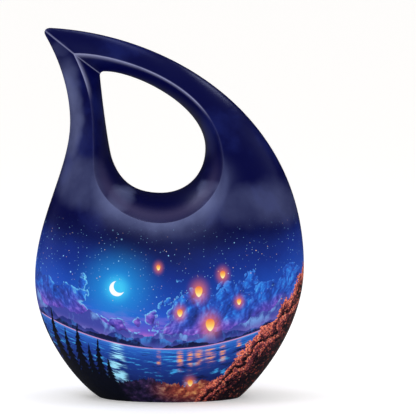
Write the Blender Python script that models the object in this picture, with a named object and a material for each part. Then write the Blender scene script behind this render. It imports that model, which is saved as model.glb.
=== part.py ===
"""A teardrop memorial urn: a hollow casting with a handle opening, and a screw-in stopper underneath.

X runs across the urn, Y from front to back and Z up, with the origin under the middle of the foot.
The shape is worked out in millimetres and turned into metres as each mesh is finished. The front half
is a skin drawn along rays from a hub inside the handle opening: from the edge of the opening, over the
crest that frames it, to the outline. The back half mirrors it.
"""

import math

import bmesh
import bpy
import numpy as np
from mathutils import Matrix, Vector
from mathutils.geometry import interpolate_bezier

MM = 0.001

# Driving dimensions
WIDTH = 218.4
FOOT_WIDTH = 114.4
FOOT_DEPTH = 66.6
BELLY_DEPTH = 126.0
WALL = 3.5

# Outlines as seen from the front. Each anchor is x, z, the heading there in degrees, and how far
# the curve reaches along that heading before and after it
RIGHT_SIDE = (
    (-103.9, 300.4, -1.2, 0.0, 101.2),
    (WIDTH / 2, 107.0, -90.0, 124.7, 56.2),
    (FOOT_WIDTH / 2, 0.0, -140.6, 10.4, 0.0),
)
LEFT_SIDE = (
    (-FOOT_WIDTH / 2, 0.0, 150.0, 0.0, 18.4),
    (-WIDTH / 2, 96.9, 90.0, 45.9, 48.3),
    (-80.3, 224.6, 90.0, 38.8, 21.1),
    (-103.9, 300.4, 122.6, 32.2, 0.0),
)
OPENING = (
    (-56.3, 264.5, 12.0, 0.0, 20.5),
    (29.1, 202.9, -90.0, 37.1, 21.8),
    (-6.9, 166.7, 180.0, 20.6, 22.0),
    (-46.4, 194.4, 108.8, 18.8, 6.7),
    (-56.3, 264.5, 95.5, 36.3, 0.0),
)
CREST = (
    (-76.6, 279.3, 4.0, 0.0, 27.0),
    (43.1, 193.4, -90.0, 64.5, 26.0),
    (-7.1, 146.3, 180.0, 27.0, 29.1),
    (-60.2, 191.3, 91.0, 23.9, 39.5),
    (-76.6, 279.3, 117.0, 37.4, 0.0),
)
TIP_TRIM = 8.0
OPENING_TRIM = 3.0
HUB = (-7.3, 225.3)

# Half of the depth against height, drawn like the outlines: foot, deepest place, tip
DEPTH_PROFILE = (
    (FOOT_DEPTH / 2, 0.0, 48.0, 0.0, 26.0),
    (BELLY_DEPTH / 2, 88.0, 90.0, 43.0, 32.0),
    (3.5, 300.4, 109.0, 130.0, 0.0),
)

# Below the first height the section is a full oval, above the second it is a pair of bevelled arms
OVAL_TOP = 133.0
ARMS_BOTTOM = 213.0
CREST_SHARE = 0.88
ARM_BULGE = 0.62

# Under the opening the skin rolls in towards the crest, and the roll dies out up the arms
ROLL_DROP = 4.0
ROLL_REACH = 15.0
ROLL_FADE = (166.0, 223.0)

# How far the inner band swells between the crest and the edge of the opening, from 0 to 1
BAND_SWELL = 0.7

# Hollow, filling bore, collar around it and stopper
HOLLOW_END_ANGLE = 17.0
BORE_RADIUS = 21.0
COLLAR_RADIUS = 26.5
COLLAR_TOP = 15.0
SEAT_RADIUS = 25.5
SEAT_HEIGHT = 3.4
CLEARANCE = 0.3
STOPPER_INSET = 0.8
STOPPER_TOP = 11.0
EDGE_CHAMFER = 0.8
SLOT_SIZE = (34.0, 3.2, 1.4)

# Mesh steps: rays along the right side, the foot and the left side, then rows on skin and band
SHELL_RAYS = (34, 12, 30)
SHELL_ROWS = (11, 4)
HOLLOW_RAYS = (24, 8, 22)
HOLLOW_ROWS = (8, 3)
TURNED_STEPS = 40
CURVE_STEPS = 400
OVERSHOOT = 1.0


def smooth_curve(anchors):
    """Points along the curve through the anchors, as rows of (x, z)."""
    points = []
    for (x0, z0, heading0, _, reach0), (x1, z1, heading1, reach1, _) in zip(anchors, anchors[1:]):
        start = Vector((x0, z0))
        end = Vector((x1, z1))
        leaving = start + reach0 * direction(heading0)
        arriving = end - reach1 * direction(heading1)
        points += interpolate_bezier(start, leaving, arriving, end, CURVE_STEPS)
    return np.array([tuple(point) for point in points])


def direction(heading):
    """Unit vector of a heading in degrees."""
    return Vector((math.cos(math.radians(heading)), math.sin(math.radians(heading))))


def lengths_along(points):
    """Length of the path from its first point to each of its points."""
    steps = np.hypot(*np.diff(points, axis=0).T)
    return np.concatenate(([0.0], np.cumsum(steps)))


def round_corner(before, after, trim):
    """Two paths that meet at a corner, as one path that rounds it off."""
    before = before[lengths_along(before) < lengths_along(before)[-1] - trim]
    corner = Vector(after[0])
    after = after[lengths_along(after) > trim]
    start = Vector(before[-1])
    end = Vector(after[0])
    fillet = interpolate_bezier(start, start.lerp(corner, 0.55), end.lerp(corner, 0.55), end, CURVE_STEPS)
    return np.concatenate((before, [tuple(point) for point in fillet], after))


def smooth_step(value, low, high):
    """0 below the low value, 1 above the high one, with a smooth change between."""
    share = np.clip((value - low) / (high - low), 0.0, 1.0)
    return share * share * (3.0 - 2.0 * share)


def turned_from_corner(points):
    """Angle around the hub of each point, counted clockwise from the corner of the crest."""
    corner = np.subtract(CREST[0][:2], HUB)
    away = points - np.array(HUB)
    return math.atan2(corner[1], corner[0]) - np.arctan2(away[:, 1], away[:, 0])


class Ring:
    """A closed path around the hub, which any ray from the hub crosses once."""

    def __init__(self, points):
        angle = turned_from_corner(points) % (2 * math.pi)
        order = np.argsort(angle)
        radius = np.hypot(*(points - np.array(HUB)).T)
        self.angle = angle[order]
        self.radius = radius[order]

    def at(self, turned):
        """Where the rays cross the path, as rows of (x, z)."""
        corner = np.subtract(CREST[0][:2], HUB)
        radius = np.interp(turned, self.angle, self.radius, period=2 * math.pi)
        heading = math.atan2(corner[1], corner[0]) - turned
        return np.array(HUB) + radius[:, None] * np.stack((np.cos(heading), np.sin(heading)), axis=1)


RIGHT = smooth_curve(RIGHT_SIDE)
LEFT = smooth_curve(LEFT_SIDE)
FOOT = np.array([(FOOT_WIDTH / 2 * math.cos(turn), 0.0) for turn in np.linspace(0.0, math.pi, CURVE_STEPS)])
TIP = round_corner(LEFT, RIGHT, TIP_TRIM)
OUTLINE_RING = Ring(np.concatenate((TIP, FOOT)))
CREST_RING = Ring(smooth_curve(CREST))
OPENING_CURVE = smooth_curve(OPENING)
HALF_WAY = len(OPENING_CURVE) // 2
OPENING_RING = Ring(round_corner(OPENING_CURVE[HALF_WAY:], OPENING_CURVE[:HALF_WAY], OPENING_TRIM))
DEPTH_CURVE = smooth_curve(DEPTH_PROFILE)


def centre_depth(z):
    """Half of the urn's depth in the middle of its section at a height."""
    return np.interp(z, DEPTH_CURVE[:, 1], DEPTH_CURVE[:, 0])


def oval_depth(points):
    """How far the skin stands in front of the middle plane where the section is a full oval."""
    x, z = points.T
    left = np.interp(z, LEFT[:, 1], LEFT[:, 0])
    right = np.interp(z, RIGHT[::-1, 1], RIGHT[::-1, 0])
    across = np.clip((2 * x - left - right) / (right - left), -1.0, 1.0)
    return centre_depth(z) * np.sqrt(1.0 - across**2)


def skin_point(crest, outline, share):
    """Points of the front skin, a share of the way along the rays from the crest to the outline."""
    flat = crest + (outline - crest) * share
    z = flat[:, 1]
    arm_depth = CREST_SHARE * centre_depth(crest[:, 1]) * (1.0 - share) ** ARM_BULGE
    blend = smooth_step(z, OVAL_TOP, ARMS_BOTTOM)
    depth = (1.0 - blend) * oval_depth(flat) + blend * arm_depth
    beyond = share * np.hypot(*(outline - crest).T)
    roll = ROLL_DROP * np.clip(1.0 - beyond / ROLL_REACH, 0.0, 1.0) ** 2
    depth -= roll * (1.0 - smooth_step(crest[:, 1], *ROLL_FADE))
    return np.stack((flat[:, 0], -depth, z), axis=1)


def band_point(opening, crest, share):
    """Points of the band inside the opening, a share of the way from its edge to the crest."""
    swell = (1.0 - BAND_SWELL) * share + BAND_SWELL * share**2
    flat = opening + (crest[:, [0, 2]] - opening) * swell
    return np.stack((flat[:, 0], crest[:, 1] * share, flat[:, 1]), axis=1)


def ray_angles(counts):
    """Angles of the rays, evenly spread along the right side, around the foot and along the left side."""
    angles = []
    for path, count in zip((RIGHT, FOOT, LEFT), counts):
        reached = lengths_along(path)
        if path is FOOT:
            reached = np.arange(len(path))
        spread = np.linspace(0.0, reached[-1], count + 1)[:-1]
        stops = np.stack([np.interp(spread, reached, path[:, axis]) for axis in (0, 1)], axis=1)
        angles.append(turned_from_corner(stops) % (2 * math.pi))
    angles = np.concatenate(angles)
    angles[0] = 0.0
    return np.sort(angles)


def front_rows(counts, rows, spacing):
    """Rows of points over the front half, from the edge of the opening to the outline."""
    skin_rows, band_rows = rows
    angles = ray_angles(counts)
    opening = OPENING_RING.at(angles)
    crest_flat = CREST_RING.at(angles)
    outline = OUTLINE_RING.at(angles)
    crest = skin_point(crest_flat, outline, 0.0)
    layers = [band_point(opening, crest, step / band_rows) for step in range(band_rows)]
    layers += [skin_point(crest_flat, outline, spacing(step / skin_rows)) for step in range(skin_rows + 1)]
    return np.array(layers)


def close_at_both_ends(share):
    """Spacing of rows that is fine at the crest and at the outline."""
    return (1.0 - math.cos(math.pi * share)) / 2


def close_at_outline(share):
    """Spacing of rows that is fine at the outline only."""
    return math.sin(math.pi / 2 * share)


def closed_urn(counts, rows, spacing):
    """The urn's outside as one closed mesh, in millimetres."""
    layers = front_rows(counts, rows, spacing)
    row_count, ray_count, _ = layers.shape
    bm = bmesh.new()
    bmesh.ops.create_grid(bm, x_segments=ray_count, y_segments=row_count - 1, size=0.5)
    for vertex in bm.verts:
        ray = round((vertex.co.x + 0.5) * ray_count) % ray_count
        row = round((vertex.co.y + 0.5) * (row_count - 1))
        vertex.co = layers[row, ray]
    weld = WALL / 1000.0
    bmesh.ops.remove_doubles(bm, verts=bm.verts, dist=weld)
    everything = bm.verts[:] + bm.edges[:] + bm.faces[:]
    bmesh.ops.mirror(bm, geom=everything, matrix=Matrix.Identity(4), merge_dist=weld, axis="Y")
    bmesh.ops.holes_fill(bm, edges=[edge for edge in bm.edges if edge.is_boundary], sides=0)
    bmesh.ops.recalc_face_normals(bm, faces=bm.faces)
    return bm


def move_in(vertex):
    """Where a vertex of the outside comes on the inside of the wall, on its own side of the middle plane."""
    place = vertex.co - vertex.normal * vertex.calc_shell_factor() * WALL
    if vertex.co.y < -CLEARANCE:
        place.y = min(place.y, -CLEARANCE)
    elif vertex.co.y > CLEARANCE:
        place.y = max(place.y, CLEARANCE)
    return place


def hollow():
    """The space inside the urn: its outside moved in by the wall, and closed off short of the tip."""
    bm = closed_urn(HOLLOW_RAYS, HOLLOW_ROWS, close_at_outline)
    bm.normal_update()
    moved = [move_in(vertex) for vertex in bm.verts]
    angle = turned_from_corner(np.array([(vertex.co.x, vertex.co.z) for vertex in bm.verts]))
    near_tip = np.cos(angle) > math.cos(math.radians(HOLLOW_END_ANGLE))
    tip = [vertex for vertex, near in zip(bm.verts, near_tip) if near]
    for vertex, place in zip(bm.verts, moved):
        vertex.co = place
    bmesh.ops.delete(bm, geom=tip, context="VERTS")
    bmesh.ops.holes_fill(bm, edges=[edge for edge in bm.edges if edge.is_boundary], sides=0)
    bmesh.ops.recalc_face_normals(bm, faces=bm.faces)
    return bm


def turned(profile):
    """A solid turned about the Z axis from (radius, z) points that start and end on the axis."""
    bm = bmesh.new()
    points = [bm.verts.new((radius, 0.0, z)) for radius, z in profile]
    edges = [bm.edges.new(pair) for pair in zip(points, points[1:])]
    bmesh.ops.spin(
        bm, geom=points + edges, cent=(0, 0, 0), axis=(0, 0, 1), steps=TURNED_STEPS, angle=2 * math.pi
    )
    bmesh.ops.remove_doubles(bm, verts=bm.verts, dist=CLEARANCE / 100.0)
    bmesh.ops.recalc_face_normals(bm, faces=bm.faces)
    return bm


def make_object(name, bm, material=None):
    """An object in metres from a mesh in millimetres, shaded smooth except at its sharp edges."""
    bmesh.ops.scale(bm, vec=(MM, MM, MM), verts=bm.verts)
    mesh = bpy.data.meshes.new(name)
    bm.to_mesh(mesh)
    bm.free()
    mesh.shade_smooth()
    mesh.set_sharp_from_angle(angle=math.radians(35.0))
    thing = bpy.data.objects.new(name, mesh)
    bpy.context.scene.collection.objects.link(thing)
    if material:
        mesh.materials.append(material)
    return thing


def make_guide(name, bm):
    """An object that only cuts or joins others."""
    guide = make_object(name, bm)
    guide.hide_render = True
    guide.display_type = "WIRE"
    return guide


def combine(thing, guide, operation):
    """A Boolean modifier that applies the guide to the thing."""
    modifier = thing.modifiers.new(guide.name, "BOOLEAN")
    modifier.object = guide
    modifier.operation = operation
    modifier.solver = "EXACT"


def paint(name, colour, roughness, metallic):
    """A plain Principled material."""
    material = bpy.data.materials.new(name)
    material.use_nodes = True
    shader = material.node_tree.nodes["Principled BSDF"]
    shader.inputs["Base Color"].default_value = (*colour, 1.0)
    shader.inputs["Roughness"].default_value = roughness
    shader.inputs["Metallic"].default_value = metallic
    return material


def make_body():
    """The casting: shell, hollow, collar and stepped filling bore."""
    navy = paint("navy_enamel", (0.012, 0.016, 0.085), 0.32, 0.0)
    body = make_object("urn_body", closed_urn(SHELL_RAYS, SHELL_ROWS, close_at_both_ends), navy)
    collar_foot = WALL / 2
    collar = [(0.0, collar_foot), (COLLAR_RADIUS, collar_foot), (COLLAR_RADIUS, COLLAR_TOP), (0.0, COLLAR_TOP)]
    bore = [
        (0.0, -OVERSHOOT),
        (SEAT_RADIUS, -OVERSHOOT),
        (SEAT_RADIUS, SEAT_HEIGHT),
        (BORE_RADIUS, SEAT_HEIGHT),
        (BORE_RADIUS, COLLAR_TOP + OVERSHOOT),
        (0.0, COLLAR_TOP + OVERSHOOT),
    ]
    combine(body, make_guide("chamber_space", hollow()), "DIFFERENCE")
    combine(body, make_guide("collar_solid", turned(collar)), "UNION")
    combine(body, make_guide("filling_bore", turned(bore)), "DIFFERENCE")


def make_stopper():
    """The stopper: a flange in its seat, a plug in the bore and a slot for a coin."""
    metal = paint("stopper_metal", (0.42, 0.43, 0.45), 0.35, 1.0)
    flange_radius = SEAT_RADIUS - CLEARANCE
    flange_top = SEAT_HEIGHT - CLEARANCE
    plug_radius = BORE_RADIUS - CLEARANCE
    profile = [
        (0.0, STOPPER_INSET),
        (flange_radius - EDGE_CHAMFER, STOPPER_INSET),
        (flange_radius, STOPPER_INSET + EDGE_CHAMFER),
        (flange_radius, flange_top),
        (plug_radius, flange_top),
        (plug_radius, STOPPER_TOP - EDGE_CHAMFER),
        (plug_radius - EDGE_CHAMFER, STOPPER_TOP),
        (0.0, STOPPER_TOP),
    ]
    stopper = make_object("base_stopper", turned(profile), metal)
    length, width, depth = SLOT_SIZE
    box = bmesh.new()
    middle = Matrix.Translation((0.0, 0.0, STOPPER_INSET))
    size = Matrix.Diagonal((length, width, 2 * depth, 1.0))
    bmesh.ops.create_cube(box, size=1.0, matrix=middle @ size)
    combine(stopper, make_guide("coin_slot", box), "DIFFERENCE")


def main():
    """Empty the scene and build the urn."""
    for thing in list(bpy.data.objects):
        bpy.data.objects.remove(thing)
    make_body()
    make_stopper()


main()
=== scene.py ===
"""The looks of a teardrop memorial urn: navy enamel, a night landscape round the belly, and the studio.

X runs across the urn, Y from front to back and Z up, as in the frame. Shapes and patterns are worked out in
millimetres, and a mesh turns into metres as it is finished.
"""

import logging
import math
from collections.abc import Iterable, Iterator
from dataclasses import dataclass, field
from enum import Enum
from itertools import chain
from typing import Any

import bmesh
import bpy
import numpy as np
from bmesh.types import BMEdge, BMesh, BMFace, BMVert
from mathutils import Matrix, Vector
from mathutils.geometry import interpolate_bezier


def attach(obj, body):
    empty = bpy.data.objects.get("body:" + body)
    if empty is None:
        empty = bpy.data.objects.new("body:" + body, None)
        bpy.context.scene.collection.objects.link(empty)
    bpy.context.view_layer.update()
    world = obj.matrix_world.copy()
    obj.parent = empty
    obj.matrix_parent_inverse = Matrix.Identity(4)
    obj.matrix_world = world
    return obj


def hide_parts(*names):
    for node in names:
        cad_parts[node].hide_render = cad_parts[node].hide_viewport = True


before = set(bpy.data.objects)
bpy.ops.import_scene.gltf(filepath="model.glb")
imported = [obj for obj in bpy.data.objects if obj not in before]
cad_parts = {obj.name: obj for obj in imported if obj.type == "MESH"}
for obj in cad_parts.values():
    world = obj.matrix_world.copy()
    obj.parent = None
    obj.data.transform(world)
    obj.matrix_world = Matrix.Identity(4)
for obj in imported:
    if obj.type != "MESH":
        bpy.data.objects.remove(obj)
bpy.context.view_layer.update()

MM = 0.001
MERGE_REACH = 0.003
CURVE_STEPS = 400
CORNER_PULL = 0.55
SHARP_ANGLE = 30.0
BODY = "root"
BAKE_MAP = "OFBake"
REACH = "reach"
# Vertex shares of painted light: a painted highlight line along the crest, a painted highlight under the rim
# and a painted warm reflection on the inner band.
CREST_LINE_HIGHLIGHT = "crest_line_highlight"
RIM_HIGHLIGHT = "rim_painted_highlight"
BAND_REFLECTION = "band_painted_reflection"
LOG = logging.getLogger("urn")

Array = np.ndarray
Pair = tuple[float, float]
Triple = tuple[float, float, float]
Colour = Triple
Stops = tuple[tuple[float, float, float, float], ...]
Anchor = tuple[float, float, float, float, float]
Number = "float | int | Signal"
Layer = tuple["Signal", "Signal | Colour"]


class Side(Enum):
    """The side of the urn that a printed figure is on."""

    FRONT = 1
    BACK = -1


def srgb(red: float, green: float, blue: float) -> Colour:
    """Turn a screen colour into the shader's linear one.

    Args:
        red: Red from 0 to 255.
        green: Green from 0 to 255.
        blue: Blue from 0 to 255.

    Returns:
        The linear colour.
    """
    shares = (channel / 255.0 for channel in (red, green, blue))
    return tuple(share / 12.92 if share <= 0.04045 else ((share + 0.055) / 1.055) ** 2.4 for share in shares)


class Signal:
    """A shader socket that Python's operators work on, each adding a Math node."""

    def __init__(self, recipe: "Recipe", socket: bpy.types.NodeSocket) -> None:
        """Wrap a socket of a recipe."""
        self.recipe = recipe
        self.socket = socket

    def __add__(self, other: Number) -> "Signal":
        """Add a value."""
        return self.recipe.math("ADD", self, other)

    def __sub__(self, other: Number) -> "Signal":
        """Take a value away."""
        return self.recipe.math("SUBTRACT", self, other)

    def __rsub__(self, other: Number) -> "Signal":
        """Take this away from a value."""
        return self.recipe.math("SUBTRACT", other, self)

    def __mul__(self, other: Number) -> "Signal":
        """Multiply by a value."""
        return self.recipe.math("MULTIPLY", self, other)

    def __truediv__(self, other: Number) -> "Signal":
        """Divide by a value."""
        return self.recipe.math("DIVIDE", self, other)

    def __rtruediv__(self, other: Number) -> "Signal":
        """Divide a value by this."""
        return self.recipe.math("DIVIDE", other, self)

    def __pow__(self, other: Number) -> "Signal":
        """Raise to a power."""
        return self.recipe.math("POWER", self, other)

    def __abs__(self) -> "Signal":
        """Drop the sign."""
        return self.recipe.math("ABSOLUTE", self)

    __radd__ = __add__
    __rmul__ = __mul__


@dataclass(frozen=True)
class Lumps:
    """A cloudy noise: lump size in millimetres, finer layers and their strength, swing, and if it is flat."""

    size: float
    detail: float
    roughness: float
    swing: float = 1.0
    flat: bool = False


class Recipe:
    """The nodes of one material, or of the world."""

    def __init__(self, owner: bpy.types.ID) -> None:
        """Start from the shader that the owner comes with.

        Args:
            owner: A new material or world.
        """
        owner.use_nodes = True
        self.owner = owner
        self.tree = owner.node_tree
        self.shader = next(node for node in self.tree.nodes if node.type in ("BSDF_PRINCIPLED", "BACKGROUND"))

    def node(self, kind: str, settings: dict[str, Any], sockets: dict[int | str, Any]) -> bpy.types.Node:
        """Add a node.

        Args:
            kind: The node's type, without the ShaderNode in front.
            settings: Its settings by name. "stops" holds a ramp's (position, colour) pairs.
            sockets: Values or signals for its input sockets, by name or number.

        Returns:
            The node.
        """
        made = self.tree.nodes.new("ShaderNode" + kind)
        for name, setting in settings.items():
            if name == "stops":
                self.set_stops(made.color_ramp, setting)
            else:
                setattr(made, name, setting)
        for name, value in sockets.items():
            self.feed(made.inputs[name], value)
        return made

    def set_stops(self, ramp: bpy.types.ColorRamp, stops: Iterable[tuple[float, Colour]]) -> None:
        """Give a ramp its stops.

        Args:
            ramp: The ramp, with two stops in it.
            stops: Pairs of position and colour.
        """
        for number, (position, colour) in enumerate(stops):
            stop = ramp.elements[number] if number < 2 else ramp.elements.new(position)
            stop.position = position
            stop.color = (*colour, 1.0)

    def feed(self, socket: bpy.types.NodeSocket, value: Any) -> None:
        """Link a signal to a socket, or set a plain value on it.

        Args:
            socket: The input socket.
            value: A signal, number, vector or colour.
        """
        if isinstance(value, Signal):
            self.tree.links.new(value.socket, socket)
        elif isinstance(value, tuple) and socket.type == "RGBA":
            socket.default_value = (*value, 1.0)
        else:
            socket.default_value = value

    def set(self, **sockets: Any) -> None:
        """Feed the shader's sockets, named with _ for a space."""
        for name, value in sockets.items():
            self.feed(self.shader.inputs[name.replace("_", " ")], value)

    def math(self, operation: str, *values: Number) -> Signal:
        """Apply a Math operation to values."""
        made = self.node("Math", {"operation": operation}, dict(enumerate(values)))
        return Signal(self, made.outputs[0])

    def length(self, across: Signal, up: Signal) -> Signal:
        """Length of two numbers at right angles."""
        return self.math("SQRT", across * across + up * up)

    def vector_math(self, operation: str, *values: Any) -> Signal:
        """Apply a Vector Math operation to vectors or colours."""
        made = self.node("VectorMath", {"operation": operation}, dict(enumerate(values)))
        return Signal(self, made.outputs["Vector"])

    def scaled(self, vector: Signal, factor: Number) -> Signal:
        """Scale a vector or a colour by one number."""
        made = self.node("VectorMath", {"operation": "SCALE"}, {0: vector, "Scale": factor})
        return Signal(self, made.outputs["Vector"])

    def vector(self, x: Number, y: Number, z: Number) -> Signal:
        """Join three numbers into a vector."""
        return Signal(self, self.node("CombineXYZ", {}, {0: x, 1: y, 2: z}).outputs[0])

    def split(self, vector: Signal) -> tuple[Signal, Signal, Signal]:
        """Split a vector into its three numbers."""
        made = self.node("SeparateXYZ", {}, {0: vector})
        return tuple(Signal(self, output) for output in made.outputs)

    def ramp(self, value: Number, start: float, end: float, low: float = 0.0, high: float = 1.0) -> Signal:
        """Change smoothly from one share to another, in either direction.

        Args:
            value: The value that is followed.
            start: Where the change starts.
            end: Where it ends.
            low: The share at the start.
            high: The share at the end.

        Returns:
            The share.
        """
        if start > end:
            start, end, low, high = end, start, high, low
        sockets = {"Value": value, "From Min": start, "From Max": end, "To Min": low, "To Max": high}
        made = self.node("MapRange", {"interpolation_type": "SMOOTHSTEP"}, sockets)
        return Signal(self, made.outputs["Result"])

    def colours(self, value: Number, span: Pair, stops: Stops) -> Signal:
        """Pick a colour by a value.

        Args:
            value: The value that picks.
            span: The values at the ramp's ends.
            stops: Rows of value, red, green and blue, the colours from 0 to 255.

        Returns:
            The colour.
        """
        start, end = span
        places = [((at - start) / (end - start), srgb(*screen)) for at, *screen in stops]
        share = (value - start) * (1.0 / (end - start))
        return Signal(self, self.node("ValToRGB", {"stops": places}, {0: share}).outputs["Color"])

    def mix(self, share: Number, under: Any, over: Any) -> Signal:
        """Lay one colour over another by a share."""
        made = self.node("Mix", {"data_type": "RGBA", "clamp_factor": True}, {0: share, 6: under, 7: over})
        return Signal(self, made.outputs[2])

    def noise(self, at: Signal, lumps: Lumps) -> Signal:
        """Cloudy noise of about 0 to 1.

        Args:
            at: Where it is read, in millimetres.
            lumps: What it is like.

        Returns:
            The noise.
        """
        settings = {"noise_dimensions": "2D" if lumps.flat else "3D"}
        sockets = {
            "Vector": at,
            "Scale": 1.0 / lumps.size,
            "Detail": lumps.detail,
            "Roughness": lumps.roughness,
        }
        return Signal(self, self.node("TexNoise", settings, sockets).outputs[0])

    def sway(self, at: Signal, lumps: Lumps) -> Signal:
        """Cloudy noise that swings about 0."""
        return (self.noise(at, lumps) - 0.5) * lumps.swing

    def drift(self, at: Signal, size: float, reach: float) -> Signal:
        """Places pushed about by a soft noise.

        Args:
            at: The places, in millimetres.
            size: Size of the noise in millimetres.
            reach: How far it pushes at most, in millimetres.

        Returns:
            The pushed places.
        """
        made = self.node("TexNoise", {}, {"Vector": at, "Scale": 1.0 / size, "Detail": 2.0})
        centred = self.vector_math("SUBTRACT", Signal(self, made.outputs["Color"]), (0.5, 0.5, 0.5))
        return self.vector_math("ADD", at, self.scaled(centred, 2.0 * reach))

    def cells(self, at: Signal, size: float) -> tuple[Signal, Signal]:
        """Cells around scattered points.

        Args:
            at: Where they are read, in millimetres.
            size: Size of a cell in millimetres.

        Returns:
            The distance from the cell's point, as a share of the most it can be, and its random colour.
        """
        made = self.node("TexVoronoi", {"normalize": True}, {"Vector": at, "Scale": 1.0 / size})
        return Signal(self, made.outputs["Distance"]), Signal(self, made.outputs["Color"])

    def puffs(self, at: Signal, size: float) -> Signal:
        """Rounded puffs around scattered points, with finer ones on them.

        Args:
            at: Where they are read, in millimetres.
            size: Size of a puff in millimetres.

        Returns:
            The distance from a puff's middle, as a share.
        """
        sockets = {"Vector": at, "Scale": 1.0 / size, "Detail": 3.2, "Roughness": 0.52, "Smoothness": 0.18}
        made = self.node("TexVoronoi", {"normalize": True, "feature": "SMOOTH_F1"}, sockets)
        return Signal(self, made.outputs["Distance"])

    def painted(self, attribute: str) -> Signal:
        """A share that is stored on the mesh's vertices."""
        return Signal(self, self.node("Attribute", {"attribute_name": attribute}, {}).outputs["Fac"])

    def places(self) -> Signal:
        """Object coordinates in millimetres."""
        made = self.node("TexCoord", {}, {})
        return self.scaled(Signal(self, made.outputs["Object"]), 1.0 / MM)


@dataclass(frozen=True)
class Lantern:
    """A floating paper lantern in the print: its middle and radius in millimetres, and its side."""

    x: float
    z: float
    radius: float
    side: Side = Side.FRONT


@dataclass(frozen=True)
class Pine:
    """A pine in the print: degrees round from the front, height of its foot, its own height and reach."""

    turn: float
    z: float
    height: float
    reach: float


@dataclass(frozen=True)
class MountainRow:
    """A row of printed mountains: height over the horizon, swing, lump size, colours and seed."""

    height: float
    swing: float
    size: float
    rock: Colour
    light: Colour
    mist: Colour
    seed: float


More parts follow.
